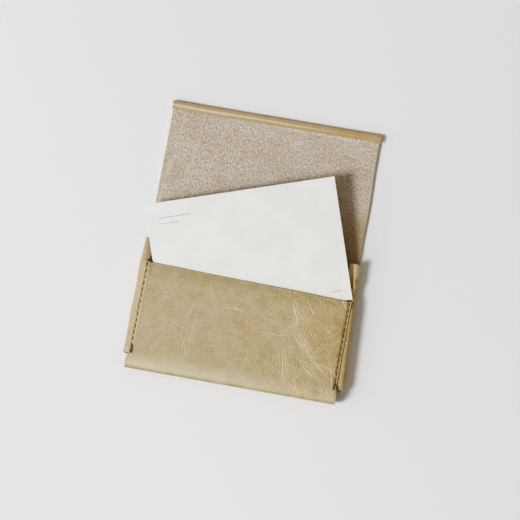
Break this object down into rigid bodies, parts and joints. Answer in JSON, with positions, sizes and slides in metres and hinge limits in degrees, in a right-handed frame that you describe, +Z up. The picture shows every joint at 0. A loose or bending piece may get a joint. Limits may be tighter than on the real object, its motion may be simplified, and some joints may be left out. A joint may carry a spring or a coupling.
{
  "type": "card holder",
  "caption": "Folded leather business card holder with side gussets, stitched seams and an open two-crease flap, and a card half out of its pocket.",
  "frame": {"origin": "middle of the back panel's underside, the face the open holder rests on", "axes": "+X to the right along the bottom fold, +Y from the bottom fold towards the open flap, +Z up out of the table"},
  "size_m": [0.1015, 0.1221, 0.0113],
  "materials": {
    "leather": "waxy pull-up tan grain with pale creases",
    "flesh_side": "undyed napped flesh side, matte",
    "thread": "waxed twisted thread, dark brown",
    "card_stock": "uncoated white card stock"
  },
  "bodies": {
    "case": {"back_panel": "leather", "bottom_fold": "leather", "front_panel": "leather", "left_gusset": "leather", "right_gusset": "leather", "left_seam_thread": "thread", "right_seam_thread": "thread"},
    "spine": {"flap_spine": "flesh_side"},
    "flap": {"flap_panel": "flesh_side", "flap_hem": "leather"},
    "card": {"business_card": "card_stock"}
  },
  "joints": [
    {"name": "flap_fold", "type": "hinge", "parent": "case", "child": "spine", "pos_m": [0, 0.02985, 0.0012], "axis": [1, 0, 0], "range_deg": [0, 90]},
    {"name": "flap_crease", "type": "hinge", "parent": "spine", "child": "flap", "pos_m": [0, 0.03865, 0.0012], "axis": [1, 0, 0], "range_deg": [0, 90]},
    {"name": "card_insert", "type": "hinge", "parent": "case", "child": "card", "pos_m": [-0.0839, 0.0041, 0.02655], "axis": [0.2804, -0.0512, 0.9585], "range_deg": [-19.38, 0], "deforming": ["business_card"]}
  ],
  "couplings": [
    {"joint": "flap_crease", "follows": "flap_fold", "ratio": 1},
    {"joint": "card_insert", "follows": "flap_fold", "ratio": -0.21533}
  ]
}
